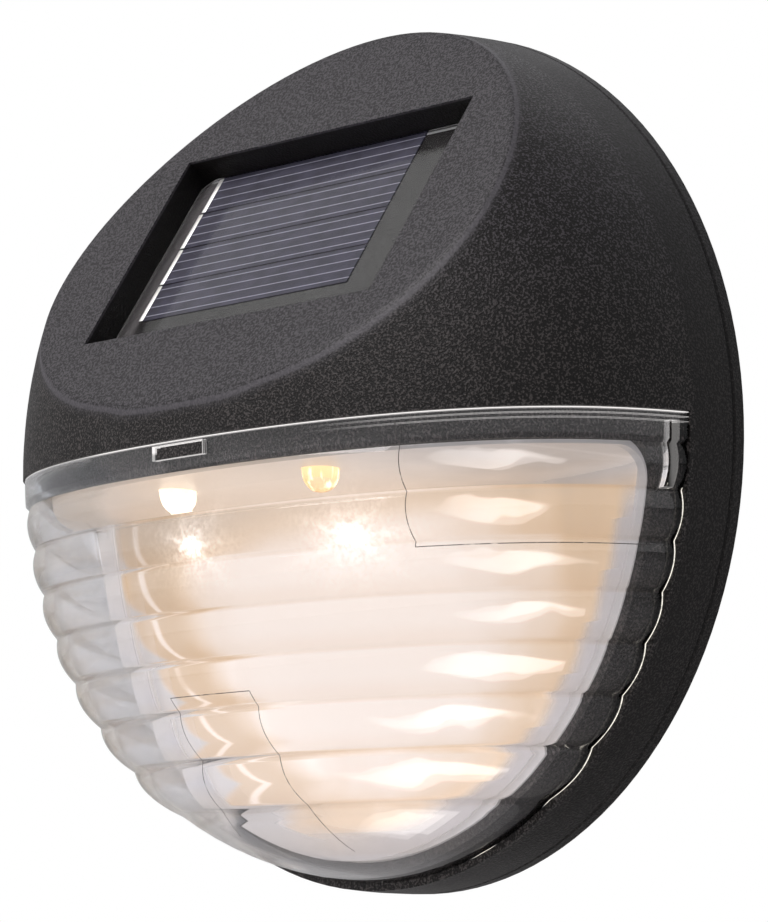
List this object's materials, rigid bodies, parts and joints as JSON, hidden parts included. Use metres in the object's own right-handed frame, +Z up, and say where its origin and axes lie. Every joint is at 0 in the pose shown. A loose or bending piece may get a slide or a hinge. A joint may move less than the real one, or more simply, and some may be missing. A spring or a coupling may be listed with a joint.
{
  "type": "solar fence light",
  "caption": "Round wall light for a fence: black domed housing with a sloping solar panel above and a clear ribbed lens over a white reflector below.",
  "frame": {"origin": "centre of the wall face of the round back cover", "axes": "+Y goes into the wall, the light faces -Y, +X is right as seen from in front of it, +Z is up with the panel above the lens"},
  "size_m": [0.12, 0.046, 0.12],
  "materials": {
    "black_abs": "fine spark-eroded moulded texture",
    "clear_plastic": "clear, polished",
    "white_plastic": "satin white",
    "led_resin": "clear, warm",
    "tinned_wire": "bright tinned",
    "board_green": "solder mask",
    "chip_black": "moulded package",
    "choke_green": "lacquered",
    "can_aluminium": "drawn can",
    "screw_steel": "zinc plated",
    "panel_resin": "clear cast resin",
    "cell_blue": "dark blue silicon",
    "panel_back": "dark grey board",
    "foam": "closed-cell foam",
    "wire_cover": "soft insulation",
    "cell_wrap": "plain shrink sleeve",
    "contact_steel": "nickel plated",
    "seal_rubber": "moulded rubber",
    "switch_plastic": "moulded"
  },
  "bodies": {
    "light": {"front_housing": "black_abs", "back_cover": "black_abs", "rim_seal": "seal_rubber", "cover_screws": "screw_steel", "lens": "clear_plastic", "reflector": "white_plastic", "led_left": "led_resin", "led_right": "led_resin", "led_legs": "tinned_wire", "circuit_board": "board_green", "driver_chip": "chip_black", "inductor": "choke_green", "capacitor": "can_aluminium", "board_screws": "screw_steel", "panel_resin": "panel_resin", "solar_cells": "cell_blue", "panel_board": "panel_back", "panel_tape": "foam", "panel_leads": "wire_cover", "battery": "cell_wrap", "contact_plus": "contact_steel", "contact_spring": "contact_steel", "battery_leads": "wire_cover", "switch_body": "switch_plastic", "switch_leads": "wire_cover"},
    "door": {"battery_door": "black_abs", "door_seal": "foam", "door_screws": "screw_steel"},
    "slider": {"switch_slider": "switch_plastic"}
  },
  "joints": [
    {"name": "battery_door_lift", "type": "slide", "parent": "light", "child": "door", "axis": [0, 1, 0], "range_m": [0, 0.03]},
    {"name": "switch_slide", "type": "slide", "parent": "light", "child": "slider", "axis": [0, 0, 1], "range_m": [0, 0.003]}
  ]
}
